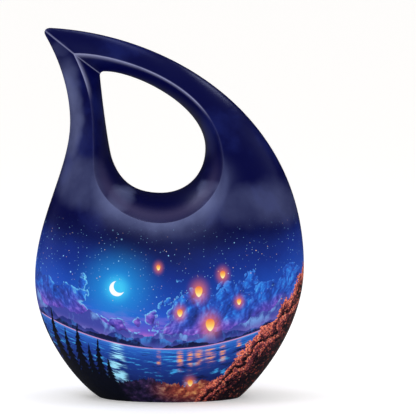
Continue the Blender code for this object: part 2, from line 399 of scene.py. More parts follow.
@dataclass
class LakePrint:
    """A generic night landscape with a lake, mountains and lanterns, in nodes.

    Lengths are in millimetres. The horizon sags in the middle of the front and of the back, and the motifs
    follow it round the belly. A method for a motif yields the layers that it adds over the picture so far.
    """

    recipe: Recipe
    place: Signal
    half_width: float = 109.2
    half_depth: float = 63.0
    side_blend: Pair = (4.0, -4.0)
    ring_size: float = 100.0
    horizon: float = 47.0
    horizon_rise: float = 25.0
    horizon_edge: Pair = (0.3, -0.3)
    shape_edge: Pair = (-0.2, 0.4)

    sky_lumps: Lumps = Lumps(48.0, 3.0, 0.55, 26.0)
    sky_span: Pair = (-10.0, 110.0)
    sky_colours: Stops = (
        (-4.0, 236, 146, 190),
        (2.0, 190, 108, 196),
        (10.0, 100, 80, 198),
        (22.0, 26, 84, 200),
        (40.0, 6, 66, 172),
        (58.0, 2, 40, 134),
        (76.0, 1, 20, 92),
        (94.0, 1, 8, 60),
    )
    glow_reach: Pair = (46.0, 0.0)
    glow_colour: Colour = srgb(16, 148, 226)

    streak_lumps: Lumps = Lumps(26.0, 5.0, 0.6)
    streak_drift: Pair = (30.0, 4.0)
    streak_squash: float = 4.5
    streak_range: Pair = (0.46, 0.66)
    streak_heights: Pair = (34.0, 6.0)
    streak_span: Pair = (0.0, 40.0)
    streak_colours: Stops = ((0.0, 250, 168, 196), (16.0, 176, 124, 220), (40.0, 80, 120, 226))

    heap_lumps: Lumps = Lumps(40.0, 3.0, 0.5, 3.4)
    heap_drift: Pair = (18.0, 5.0)
    heap_lean: float = 0.12
    heap_rise: Pair = (0.0, 12.0)
    heap_fall: Pair = (68.0, 26.0)
    heap_clear: Pair = (13.0, 32.0)
    heap_fill: float = 1.15
    heap_gap: float = 0.32
    heap_edge: Pair = (0.0, 0.05)
    heap_foot: Pair = (0.0, 5.0)
    puff_size: float = 15.0
    puff_bite: float = 1.9
    puff_relief: float = 10.0
    light_step: float = 1.7
    light_lift: float = 12.0
    tint_sway: float = 90.0
    tint_heights: Pair = (14.0, 34.0)
    relief_span: Pair = (-1.2, 1.4)
    violet_cloud: Stops = ((-1.0, 24, 22, 104), (0.0, 84, 62, 176), (0.6, 142, 96, 206), (1.3, 176, 150, 240))
    blue_cloud: Stops = ((-1.0, 6, 30, 108), (0.0, 22, 74, 182), (0.6, 36, 124, 224), (1.3, 92, 196, 248))
    rim_reach: Pair = (90.0, 16.0)
    far_rim: Colour = srgb(66, 140, 232)
    near_rim: Colour = srgb(126, 224, 252)

    star_sorts: tuple[Triple, ...] = ((2.4, 0.11, 0.7), (4.4, 0.085, 1.0), (11.0, 0.05, 1.0))
    star_heights: Pair = (16.0, 50.0)
    star_warm_share: Pair = (0.80, 0.84)
    cool_star: Colour = srgb(150, 214, 255)
    warm_star: Colour = srgb(255, 214, 176)

    moon: Pair = (-41.0, 95.0)
    moon_radius: float = 6.0
    moon_edge: float = 0.25
    moon_colour: Colour = srgb(250, 252, 255)
    bite_shift: Pair = (0.42, 0.3)
    bite_edge: Pair = (0.82, 0.9)
    halo_reach: Pair = (17.0, 3.0)
    halo_colour: Colour = srgb(62, 208, 246)

    slope_squash: float = 0.55
    slope_drift: Pair = (9.0, 2.0)
    slope_light: Pair = (0.47, 0.62)
    mountains: tuple[MountainRow, ...] = (
        MountainRow(15.0, 17.0, 42.0, srgb(58, 66, 160), srgb(120, 170, 235), srgb(120, 104, 190), 3.0),
        MountainRow(8.0, 12.0, 30.0, srgb(30, 44, 128), srgb(60, 130, 214), srgb(74, 80, 170), 11.0),
        MountainRow(2.5, 6.0, 20.0, srgb(10, 18, 66), srgb(24, 66, 140), srgb(28, 44, 118), 27.0),
    )

    ripple_lumps: Lumps = Lumps(6.0, 4.0, 0.62)
    ripple_drift: Pair = (12.0, 1.2)
    ripple_squash: float = 0.36
    ripple_rows: float = 34.0
    ripple_start: float = 1.5
    trough_range: Pair = (0.42, 0.30)
    glint_range: Pair = (0.44, 0.60)
    wave_range: Pair = (0.54, 0.66)
    beam_width: float = 7.0
    beam_spread: float = 0.12
    trail_width: float = 1.5
    trail_fade: Pair = (22.0, 8.0)
    trail_start: Pair = (0.5, 5.0)
    water_span: Pair = (0.0, 32.0)
    water_colours: Stops = ((0.0, 70, 132, 214), (3.0, 26, 92, 190), (12.0, 10, 58, 150), (30.0, 6, 28, 98))
    trough_colour: Colour = srgb(4, 16, 70)
    wave_colour: Colour = srgb(58, 168, 232)
    beam_colour: Colour = srgb(160, 232, 252)
    trail_colour: Colour = srgb(255, 158, 74)
    far_shore: Pair = (1.2, 0.0)
    far_shore_colour: Colour = srgb(232, 160, 206)

    ground_bumps: Lumps = Lumps(30.0, 6.0, 0.55, 22.0, flat=True)
    ground_blades: Lumps = Lumps(2.2, 2.0, 0.7, 5.0, flat=True)
    ground_grain: Lumps = Lumps(5.0, 6.0, 0.65)
    ground_height: float = 19.0
    ground_rise: float = 14.0
    earth_span: Pair = (0.2, 0.8)
    earth_colours: Stops = ((0.32, 7, 7, 24), (0.48, 26, 18, 52), (0.62, 60, 38, 84), (0.76, 112, 74, 118))
    warm_earth: Stops = ((0.3, 60, 18, 20), (0.5, 176, 70, 36), (0.68, 255, 180, 96))
    warm_spot: Pair = (17.0, 12.0)
    warm_squash: float = 2.4
    warm_reach: Pair = (38.0, 4.0)
    shade_reach: Pair = (-18.0, -52.0)
    shade_colour: Colour = srgb(5, 5, 16)

    bank_clumps: Lumps = Lumps(19.0, 4.0, 0.62, 46.0)
    bank_twigs: Lumps = Lumps(2.2, 2.0, 0.7, 13.0)
    bank_folds: Lumps = Lumps(10.0, 3.0, 0.6, 34.0)
    bank_tufts: Lumps = Lumps(6.0, 2.0, 0.6)
    bank_start: float = 0.34
    bank_edge: Pair = (0.33, 0.37)
    bank_height: float = 96.0
    bank_foot: float = 6.0
    bank_dim: Pair = (5.0, 46.0)
    bush_size: float = 17.0
    bush_shade: Pair = (0.0, 15.0)
    bush_crown: Pair = (11.0, 0.5)
    leaf_drift: Pair = (1.5, 0.8)
    leaf_size: float = 1.25
    leaf_edge: Pair = (0.43, 0.27)
    leaf_colours: Stops = (
        (0.0, 140, 40, 36),
        (0.3, 214, 74, 46),
        (0.6, 246, 124, 70),
        (0.85, 238, 116, 122),
        (1.0, 255, 184, 132),
    )
    deep_leaf: Colour = srgb(70, 20, 22)
    crown_leaf: Colour = srgb(255, 146, 104)
    lit_earth: Colour = srgb(132, 48, 56)
    deep_earth: Colour = srgb(4, 4, 14)

    pine_twigs: Lumps = Lumps(1.6, 2.0, 0.6, 2.2)
    pine_lean: float = 0.55
    pine_tiers: float = 7.0
    pine_stem: float = 0.35
    pine_colour: Colour = srgb(5, 8, 26)
    pines: tuple[Pine, ...] = (
        Pine(-82.0, 36.0, 40.0, 7.0),
        Pine(-69.0, 30.0, 46.0, 8.0),
        Pine(-60.0, 27.0, 34.0, 6.5),
        Pine(-52.0, 23.0, 42.0, 7.5),
        Pine(-45.0, 22.0, 27.0, 5.5),
        Pine(-39.5, 20.0, 33.0, 6.0),
        Pine(-34.0, 19.0, 19.0, 4.5),
        Pine(-143.0, 21.0, 28.0, 5.5),
        Pine(-151.0, 18.0, 38.0, 7.0),
        Pine(-158.0, 17.0, 26.0, 5.0),
        Pine(172.0, 14.0, 24.0, 5.0),
    )

    lantern_rise: float = 1.3
    lantern_halo: Pair = (4.2, 0.4)
    lantern_edge: Pair = (1.08, 0.92)
    lantern_glow: Colour = srgb(236, 116, 84)
    paper_span: Pair = (-1.0, 1.0)
    paper_colours: Stops = ((-1.0, 255, 250, 196), (-0.2, 255, 206, 92), (1.0, 240, 106, 40))
    lanterns: tuple[Lantern, ...] = (
        Lantern(24, 93, 3.3),
        Lantern(43, 106, 2.3),
        Lantern(9, 76, 2.4),
        Lantern(56, 84, 1.9),
        Lantern(33, 66, 3.9),
        Lantern(-8, 112, 1.7),
        Lantern(17, 17.5, 2.3),
        Lantern(-30, 84, 3.2, Side.BACK),
        Lantern(12, 97, 2.4, Side.BACK),
        Lantern(-48, 104, 2.0, Side.BACK),
    )

    def __post_init__(self) -> None:
        """Work out the places round the belly that the motifs share."""
        recipe = self.recipe
        self.x, self.y, self.z = recipe.split(self.place)
        across = self.x * (1.0 / self.half_width)
        ahead = self.y * (-1.0 / self.half_depth)
        self.reach = recipe.length(across, ahead)
        self.turn_across = across / self.reach
        self.turn_ahead = ahead / self.reach
        self.height = self.z - self.horizon - self.turn_across * self.turn_across * self.horizon_rise
        self.bent = recipe.vector(self.x, self.y, self.height)
        self.ring = recipe.vector(self.turn_across * self.ring_size, self.turn_ahead * self.ring_size, 0.0)
        self.front = recipe.ramp(self.y, *self.side_blend)
        self.radius = recipe.length(self.x, self.y)
        self.moon_distance = recipe.length(self.x - self.moon[0], self.z - self.moon[1])

    def on_side(self, side: Side) -> Signal:
        """Share of a place that is on a side."""
        return self.front if side is Side.FRONT else 1.0 - self.front

    def colour(self) -> Signal:
        """The whole picture, laid up from the sky to the nearest figures.

        Returns:
            The picture's colour.
        """
        motifs = [self.thin_clouds(), self.heaped_clouds(), self.stars(), self.crescent()]
        motifs += [self.mountain_row(row) for row in self.mountains]
        motifs += [self.lake(), self.ground(), self.leafy_bank()]
        motifs += [self.pine(pine) for pine in self.pines]
        motifs += [self.lantern(lantern) for lantern in self.lanterns]
        picture = self.sky()
        for share, colour in chain.from_iterable(motifs):
            picture = self.recipe.mix(share, picture, colour)
        return picture

    def sky(self) -> Signal:
        """Sky colour by height over the horizon, brighter round the moon.

        Returns:
            The colour.
        """
        recipe = self.recipe
        height = self.height + recipe.sway(self.bent, self.sky_lumps)
        base = recipe.colours(height, self.sky_span, self.sky_colours)
        glow = recipe.ramp(self.moon_distance, *self.glow_reach) ** 1.6 * self.front
        return recipe.mix(glow * 0.95, base, self.glow_colour)

    def thin_clouds(self) -> Iterator[Layer]:
        """Long streaks of cloud low over the horizon.

        Yields:
            The streaks.
        """
        recipe = self.recipe
        drifted = recipe.drift(self.bent, *self.streak_drift)
        flat = recipe.vector_math("MULTIPLY", drifted, (1.0, 1.0, self.streak_squash))
        streaks = recipe.ramp(recipe.noise(flat, self.streak_lumps), *self.streak_range)
        low = recipe.ramp(self.height, *self.streak_heights)
        yield streaks * low * 0.75, recipe.colours(self.height, self.streak_span, self.streak_colours)

    def heaped_clouds(self) -> Iterator[Layer]:
        """Heaped clouds in two tints, with lit rims on the side of the moon.

        Yields:
            The clouds.
        """
        recipe = self.recipe
        lean = recipe.vector(self.x, self.y, self.height - abs(self.x) * self.heap_lean)
        soft = recipe.drift(lean, *self.heap_drift)
        towards = recipe.vector(self.moon[0] - self.x, 0.0, self.moon[1] + self.light_lift - self.z)
        light = recipe.scaled(recipe.vector_math("NORMALIZE", towards), self.light_step)
        puffs = recipe.puffs(soft, self.puff_size)
        beside = recipe.puffs(recipe.vector_math("ADD", soft, light), self.puff_size)
        relief = (beside - puffs) * self.puff_relief
        where = recipe.noise(lean, self.heap_lumps)
        band = recipe.ramp(self.height, *self.heap_rise) * recipe.ramp(self.height, *self.heap_fall)
        clear = recipe.ramp(self.moon_distance, *self.heap_clear)
        body = (where - 0.5) * self.heap_lumps.swing + band * clear * self.heap_fill
        body = body - puffs * self.puff_bite - self.heap_gap
        mask = recipe.ramp(body, *self.heap_edge) * recipe.ramp(self.height, *self.heap_foot)
        tint = recipe.ramp(self.height + (where - 0.5) * self.tint_sway, *self.tint_heights)
        violet = recipe.colours(relief, self.relief_span, self.violet_cloud)
        lit = recipe.mix(tint, violet, recipe.colours(relief, self.relief_span, self.blue_cloud))
        near = recipe.ramp(self.moon_distance, *self.rim_reach) * self.front
        rim = recipe.mix(near, self.far_rim, self.near_rim)
        edge = recipe.ramp(body, 0.12, 0.02) * recipe.ramp(relief, -0.3, 0.3)
        bright = recipe.ramp(relief, 0.5, 1.2) * (near * 0.6 + 0.3)
        yield mask * 0.95, recipe.mix(recipe.math("MAXIMUM", edge * 0.95, bright), lit, rim)

    def stars(self) -> Iterator[Layer]:
        """Fine and coarse stars in the upper sky.

        Yields:
            The stars of each sort.
        """
        recipe = self.recipe
        for spacing, radius, strength in self.star_sorts:
            distance, random = recipe.cells(self.place, spacing)
            red, green, _ = recipe.split(random)
            spot = recipe.ramp(distance, radius, radius * 0.35) * recipe.ramp(red, 0.25, 0.9)
            high = recipe.ramp(self.height, *self.star_heights) * strength
            warm = recipe.ramp(green, *self.star_warm_share)
            yield spot * high, recipe.mix(warm, self.cool_star, self.warm_star)

    def crescent(self) -> Iterator[Layer]:
        """The crescent moon with its halo, on the front only.

        Yields:
            The halo, then the moon.
        """
        recipe = self.recipe
        radius = self.moon_radius
        disc = recipe.ramp(self.moon_distance, radius + self.moon_edge, radius - self.moon_edge)
        across = self.x - (self.moon[0] + self.bite_shift[0] * radius)
        up = self.z - (self.moon[1] + self.bite_shift[1] * radius)
        inner, outer = self.bite_edge
        moon = disc * recipe.ramp(recipe.length(across, up), inner * radius, outer * radius)
        halo = recipe.ramp(self.moon_distance, *self.halo_reach) ** 2.0
        yield halo * self.front * 0.8, self.halo_colour
        yield moon * self.front, self.moon_colour

    def mountain_row(self, row: MountainRow) -> Iterator[Layer]:
        """One row of mountains, lit from above and misty at its foot.

        Args:
            row: The row.

        Yields:
            The mountains.
        """
        recipe = self.recipe
        jags = Lumps(row.size, 6.0, 0.52, 2.2 * row.swing, flat=True)
        ring = recipe.vector_math("ADD", self.ring, (row.seed * 17.0, row.seed * 5.0, 0.0))
        below = recipe.sway(ring, jags) + row.height - self.height
        slopes = recipe.vector_math("MULTIPLY", self.bent, (1.0, 1.0, self.slope_squash))
        folds = recipe.noise(recipe.drift(slopes, *self.slope_drift), Lumps(row.size * 0.3, 5.0, 0.6))
        lit = recipe.ramp(folds, *self.slope_light) * recipe.ramp(below, row.swing * 1.1, 0.0)
        colour = recipe.mix(lit * 0.85, row.rock, row.light)
        low = recipe.ramp(self.height, row.height * 0.75, -1.0)
        yield recipe.ramp(below, -0.25, 0.35), recipe.mix(low, colour, row.mist)

    def lake(self) -> Iterator[Layer]:
        """Still water with ripples, the moon's glitter and the lanterns' trails.

        Yields:
            The water.
        """
        recipe = self.recipe
        down = recipe.math("MAXIMUM", 0.0 - self.height, 0.0)
        rows = recipe.math("LOGARITHM", down + self.ripple_start, math.e) * self.ripple_rows
        rippled = recipe.vector(self.x * self.ripple_squash, self.y * self.ripple_squash, rows)
        ripples = recipe.noise(recipe.drift(rippled, *self.ripple_drift), self.ripple_lumps)
        glints = recipe.ramp(ripples, *self.glint_range)
        water = recipe.colours(down, self.water_span, self.water_colours)
        water = recipe.mix(recipe.ramp(ripples, *self.trough_range), water, self.trough_colour)
        water = recipe.mix(recipe.ramp(ripples, *self.wave_range) * 0.85, water, self.wave_colour)
        beam = recipe.ramp(abs(self.x - self.moon[0]) - down * self.beam_spread, self.beam_width, 0.0)
        water = recipe.mix(beam * self.front * glints, water, self.beam_colour)
        length = recipe.ramp(down, *self.trail_fade) * recipe.ramp(down, *self.trail_start)
        for lantern in self.lanterns:
            trail = recipe.ramp(abs(self.x - lantern.x), lantern.radius * self.trail_width, 0.0)
            trail = trail * self.on_side(lantern.side)
            water = recipe.mix(trail * length * glints, water, self.trail_colour)
        shore = recipe.ramp(down, *self.far_shore)
        yield recipe.ramp(self.height, *self.horizon_edge), recipe.mix(shore, water, self.far_shore_colour)

    def ground(self) -> Iterator[Layer]:
        """The near shore: dark purple earth with pebbles, warm where the lowest lantern lights it.

        Yields:
            The shore.
        """
        recipe = self.recipe
        top = recipe.sway(self.ring, self.ground_bumps) + recipe.sway(self.ring, self.ground_blades)
        top = top + self.ground_height + abs(self.turn_across) ** 3.0 * self.ground_rise
        grain = recipe.noise(self.place, self.ground_grain)
        earth = recipe.colours(grain, self.earth_span, self.earth_colours)
        across = self.x - self.warm_spot[0]
        up = (self.z - self.warm_spot[1]) * self.warm_squash
        warm = recipe.ramp(recipe.length(across, up), *self.warm_reach) * self.front
        earth = recipe.mix(warm * 0.8, earth, recipe.colours(grain, self.earth_span, self.warm_earth))
        earth = recipe.mix(recipe.ramp(self.x, *self.shade_reach) * 0.85, earth, self.shade_colour)
        yield recipe.ramp(top - self.z, *self.shape_edge), earth

    def leafy_bank(self) -> Iterator[Layer]:
        """A dark bank of autumn bushes that climbs the right-hand side.

        Yields:
            The bank.
        """
        recipe = self.recipe
        beyond = recipe.math("MAXIMUM", self.turn_across - self.bank_start, 0.0)
        climb = beyond * (1.0 / (1.0 - self.bank_start))
        top = climb ** 1.15 * self.bank_height + self.bank_foot
        top = top + recipe.sway(self.place, self.bank_clumps) + recipe.sway(self.place, self.bank_twigs)
        below = top - self.z
        distance, random = recipe.cells(recipe.drift(self.place, *self.leaf_drift), self.leaf_size)
        red, green, _ = recipe.split(random)
        folds = (recipe.noise(self.place, self.bank_folds) - 0.5) * recipe.ramp(below, 0.0, 12.0)
        bushes = (below + folds * self.bank_folds.swing) * (1.0 / self.bush_size)
        within = recipe.math("FRACT", bushes) * self.bush_size
        dim = recipe.ramp(below, *self.bank_dim)
        deep = recipe.math("MAXIMUM", recipe.ramp(within, *self.bush_shade), dim * 0.95)
        crown = recipe.ramp(within, *self.bush_crown) * (1.0 - dim)
        leaf = recipe.ramp(distance, *self.leaf_edge) * recipe.ramp(red - deep * 0.8, 0.0, 0.1)
        leaves = recipe.mix(deep * 0.75, recipe.colours(green, (0.0, 1.0), self.leaf_colours), self.deep_leaf)
        leaves = recipe.mix(crown * 0.45, leaves, self.crown_leaf)
        tufts = recipe.ramp(recipe.noise(self.place, self.bank_tufts), 0.38, 0.54)
        earth = recipe.mix(deep, self.lit_earth, self.deep_earth)
        bank = recipe.mix(leaf * recipe.ramp(tufts + crown, 0.0, 1.0, 0.2, 1.0), earth, leaves)
        yield recipe.ramp(below, *self.shape_edge) * recipe.ramp(self.turn_across, *self.bank_edge), bank

    def pine(self, pine: Pine) -> Iterator[Layer]:
        """One pine as a dark figure with tiers of boughs.

        Args:
            pine: The pine.

        Yields:
            The figure.
        """
        recipe = self.recipe
        sine = math.sin(math.radians(pine.turn))
        cosine = math.cos(math.radians(pine.turn))
        stretch = math.hypot(self.half_width * cosine, self.half_depth * sine)
        aside = (self.turn_across * cosine - self.turn_ahead * sine) * self.reach * stretch
        aside = aside + (self.z - pine.z) * (self.pine_lean * sine * cosine)
        facing = self.turn_across * sine + self.turn_ahead * cosine
        share = (self.z - pine.z) * (1.0 / pine.height)
        tier = 1.0 - recipe.math("FRACT", share * self.pine_tiers)
        reach = (1.0 - share) * pine.reach * (tier * 0.55 + 0.45)
        inside = reach + self.pine_stem - abs(aside) + recipe.sway(self.place, self.pine_twigs)
        mask = recipe.ramp(inside, -0.15, 0.3) * recipe.ramp(share, 1.04, 1.0) * recipe.ramp(facing, 0.0, 0.2)
        yield mask, self.pine_colour

    def lantern(self, lantern: Lantern) -> Iterator[Layer]:
        """One paper lantern with its warm halo.

        Args:
            lantern: The lantern.

        Yields:
            The halo, then the lantern.
        """
        recipe = self.recipe
        side = self.on_side(lantern.side)
        across = (self.x - lantern.x) * (1.0 / lantern.radius)
        up = (self.z - lantern.z) * (1.0 / (self.lantern_rise * lantern.radius))
        halo = recipe.ramp(recipe.length(across, up), *self.lantern_halo) ** 2.4 * side
        yield halo * 0.7, self.lantern_glow
        body = recipe.length(across / (up * 0.24 + 0.86), up)
        paper = recipe.colours(up, self.paper_span, self.paper_colours)
        yield recipe.ramp(body, *self.lantern_edge) * side, paper


@dataclass(frozen=True)
class HighlightPatch:
    """A painted highlight patch in the enamel, pale where a soft reflection would fall: its middle and reach
    in millimetres, and its strength.
    """

    x: float
    z: float
    across: float
    up: float
    strength: float


@dataclass(frozen=True)
class NavyEnamel:
    """Satin navy enamel, mottled, with painted highlights and a painted reflection, and the printed band
    baked into it.
    """

    name: str = "navy_enamel"
    deep: Colour = srgb(1, 2, 62)
    pale: Colour = srgb(13, 21, 84)
    # Colour of the painted highlights in the pale patches and under the rim.
    highlight_colour: Colour = srgb(100, 108, 150)
    # Colour of the painted highlight line along the crest and the ridge from the tip; the real rounded crest
    # also catches light of its own.
    edge: Colour = srgb(150, 153, 190)
    # Colour of the painted warm reflection on the inner band below the crest.
    warm: Colour = srgb(68, 62, 98)
    roughness: float = 0.3
    print_roughness: float = 0.42
    specks: Lumps = Lumps(0.9, 3.0, 0.6, 0.08)
    specular: float = 0.4
    sheen: Colour = (0.5, 0.57, 1.0)
    clouds: Lumps = Lumps(38.0, 5.0, 0.55)
    cloud_drift: Pair = (40.0, 8.0)
    cloud_range: Pair = (0.5, 0.7)
    # How the mottle breaks up the painted highlights and the painted highlight line along the crest.
    highlight_in_clouds: tuple[float, ...] = (0.30, 0.62, 0.55, 1.0)
    line_highlight_in_clouds: tuple[float, ...] = (0.2, 0.5, 0.45, 0.9)
    rim_painted_highlight: float = 0.86
    band_painted_reflection: float = 0.7
    patch_drift: Pair = (24.0, 8.0)
    # Painted highlights: pale patches on the right belly, the left arm, near the tip and on the inner band,
    # where soft reflections fall.
    patches: tuple[HighlightPatch, ...] = (
        HighlightPatch(74.0, 160.0, 56.0, 23.0, 0.32),
        HighlightPatch(-72.0, 178.0, 26.0, 27.0, 0.37),
        HighlightPatch(-82.0, 232.0, 15.0, 52.0, 0.58),
        HighlightPatch(-88.0, 282.0, 9.0, 9.0, 0.18),
        HighlightPatch(-40.0, 165.0, 14.0, 10.0, 0.66),
        HighlightPatch(30.0, 173.5, 10.0, 8.0, 0.6),
    )
    print_fade: Pair = (149.0, 120.0)
    print_ragged: Lumps = Lumps(20.0, 4.0, 0.6, 22.0)
    print_rise: float = 8.0
    above_foot: Pair = (0.1, 0.3)
    outside_seat: Pair = (27.0, 29.0)
    waves: Lumps = Lumps(30.0, 1.0, 0.5, 0.35)
    peel: Lumps = Lumps(1.4, 2.0, 0.5, 0.008)

    def make(self) -> bpy.types.Material:
        """Make the material.

        Returns:
            The material.
        """
        recipe = Recipe(bpy.data.materials.new(self.name))
        place = recipe.places()
        picture = LakePrint(recipe, place)
        rise = picture.turn_across * picture.turn_across * self.print_rise
        printed = recipe.ramp(picture.z + recipe.sway(place, self.print_ragged) - rise, *self.print_fade)
        printed = printed * recipe.ramp(picture.z, *self.above_foot)
        printed = printed * recipe.ramp(picture.radius, *self.outside_seat)
        rougher = self.print_roughness - self.roughness
        roughness = recipe.math("MULTIPLY_ADD", printed, rougher, self.roughness)
        recipe.set(
            Base_Color=recipe.mix(printed, self.enamel(recipe, place), picture.colour()),
            Roughness=roughness + recipe.sway(place, self.specks),
            Specular_IOR_Level=self.specular,
            Specular_Tint=self.sheen,
            Normal=self.skin_relief(recipe, place),
        )
        return recipe.owner

    def enamel(self, recipe: Recipe, place: Signal) -> Signal:
        """Mottled navy with painted highlights in patches, under the rim and along the crest, and a painted
        warm reflection on the inner band.

        Args:
            recipe: The material's nodes.
            place: Object coordinates in millimetres.

        Returns:
            The enamel's colour.
        """
        clouds = recipe.noise(recipe.drift(place, *self.cloud_drift), self.clouds)
        colour = recipe.mix(recipe.ramp(clouds, *self.cloud_range), self.deep, self.pale)
        # Painted highlight under the rim, then the painted highlight patches.
        painted_highlight = recipe.painted(RIM_HIGHLIGHT) * self.rim_painted_highlight
        x, _, z = recipe.split(recipe.drift(place, *self.patch_drift))
        for patch in self.patches:
            across = (x - patch.x) * (1.0 / patch.across)
            up = (z - patch.z) * (1.0 / patch.up)
            spread = recipe.ramp(across * across + up * up, 1.0, 0.0)
            painted_highlight = recipe.math("MAXIMUM", painted_highlight, spread * patch.strength)
        colour = recipe.mix(painted_highlight * recipe.ramp(clouds, *self.highlight_in_clouds), colour, self.highlight_colour)
        # Painted warm reflection on the inner band.
        colour = recipe.mix(recipe.painted(BAND_REFLECTION) * self.band_painted_reflection, colour, self.warm)
        # Painted highlight line along the crest.
        line_highlight = recipe.painted(CREST_LINE_HIGHLIGHT) * recipe.ramp(clouds, *self.line_highlight_in_clouds)
        return recipe.mix(line_highlight, colour, self.edge)

    def skin_relief(self, recipe: Recipe, place: Signal) -> Signal:
        """The enamel's soft waves and fine orange peel, as a bump.

        Args:
            recipe: The material's nodes.
            place: Object coordinates in millimetres.

        Returns:
            The bent normal.
        """
        waves = recipe.noise(place, self.waves) * self.waves.swing
        peel = recipe.noise(place, self.peel) * self.peel.swing
        bump = recipe.node("Bump", {}, {"Strength": 1.0, "Distance": MM, "Height": waves + peel})
        return Signal(recipe, bump.outputs[0])


@dataclass(frozen=True)
class TurnedMetal:
    """Bright metal with the fine rings of a lathe tool about the Z axis."""

    name: str = "stopper_metal"
    pale: Colour = (0.52, 0.53, 0.55)
    dark: Colour = (0.33, 0.34, 0.36)
    roughness: float = 0.24
    stain_roughness: float = 0.2
    stains: Lumps = Lumps(14.0, 4.0, 0.6)
    stain_range: Pair = (0.4, 0.7)
    ring_pitch: float = 0.35
    ring_depth: float = 0.05

    def make(self) -> bpy.types.Material:
        """Make the material.

        Returns:
            The material.
        """
        recipe = Recipe(bpy.data.materials.new(self.name))
        place = recipe.places()
        x, y, _ = recipe.split(place)
        sockets = {"W": recipe.length(x, y), "Scale": 1.0 / self.ring_pitch}
        grooves = Signal(recipe, recipe.node("TexNoise", {"noise_dimensions": "1D"}, sockets).outputs[0])
        stains = recipe.noise(place, self.stains)
        dull = recipe.ramp(stains, *self.stain_range) * 0.6 + grooves * 0.25
        bump = recipe.node("Bump", {}, {"Strength": 0.6, "Distance": self.ring_depth * MM, "Height": grooves})
        recipe.set(
            Base_Color=recipe.mix(dull, self.pale, self.dark),
            Metallic=1.0,
            Roughness=self.roughness + stains * self.stain_roughness,
            Normal=Signal(recipe, bump.outputs[0]),
        )
        return recipe.owner


def smooth_curve(anchors: Iterable[Anchor]) -> Array:
    """Draw the smooth curve through anchors.

    Args:
        anchors: Each x, z, the heading in degrees, and the curve's reach before and after it.

    Returns:
        Rows of (x, z).
    """
    anchors = tuple(anchors)
    points = []
    for (x0, z0, heading0, _, reach0), (x1, z1, heading1, reach1, _) in zip(anchors, anchors[1:]):
        start = Vector((x0, z0))
        end = Vector((x1, z1))
        after_start = start + reach0 * direction(heading0)
        before_end = end - reach1 * direction(heading1)
        points += interpolate_bezier(start, after_start, before_end, end, CURVE_STEPS)
    return np.array([tuple(point) for point in points])


def direction(heading: float) -> Vector:
    """Unit vector of a heading in degrees."""
    return Vector((math.cos(math.radians(heading)), math.sin(math.radians(heading))))


def lengths_along(points: Array) -> Array:
    """Measure a path, or each of several, from its start.

    Args:
        points: The path's points, the paths along the first axis where there are several.

    Returns:
        The length up to each point.
    """
    steps = np.linalg.norm(np.diff(points, axis=-2), axis=-1)
    start = np.zeros((*steps.shape[:-1], 1))
    return np.concatenate((start, np.cumsum(steps, axis=-1)), axis=-1)


def round_corner(before: Array, after: Array, trim: float) -> Array:
    """Join two paths that meet at a corner, and round the corner off.

    Args:
        before: The path that ends at the corner.
        after: The path that starts there.
        trim: Length taken off each.

    Returns:
        The joined path.
    """
    corner = Vector(after[0])
    before = before[lengths_along(before) < lengths_along(before)[-1] - trim]
    after = after[lengths_along(after) > trim]
    start = Vector(before[-1])
    end = Vector(after[0])
    pulled = (start.lerp(corner, CORNER_PULL), end.lerp(corner, CORNER_PULL))
    fillet = interpolate_bezier(start, *pulled, end, CURVE_STEPS)
    return np.concatenate((before, [tuple(point) for point in fillet], after))


def smooth_step(value: Array, low: float, high: float) -> Array:
    """0 below the low value, 1 above the high one, with a smooth change between."""
    share = np.clip((value - low) / (high - low), 0.0, 1.0)
    return share * share * (3.0 - 2.0 * share)


def finish_piece(
    name: str, bm: BMesh, material: bpy.types.Material, sharp: float = SHARP_ANGLE
) -> bpy.types.Object:
    """Turn a mesh in millimetres into a smooth-shaded object in metres.

    Args:
        name: The piece's name.
        bm: Its mesh, which is used up.
        material: Its finish.
        sharp: Angle in degrees over which an edge stays sharp.

    Returns:
        The object.
    """
    bmesh.ops.scale(bm, vec=(MM, MM, MM), verts=bm.verts)
    mesh = bpy.data.meshes.new(name)
    bm.to_mesh(mesh)
    bm.free()
    mesh.shade_smooth()
    mesh.set_sharp_from_angle(angle=math.radians(sharp))
    mesh.materials.append(material)
    piece = bpy.data.objects.new(name, mesh)
    bpy.context.scene.collection.objects.link(piece)
    return piece


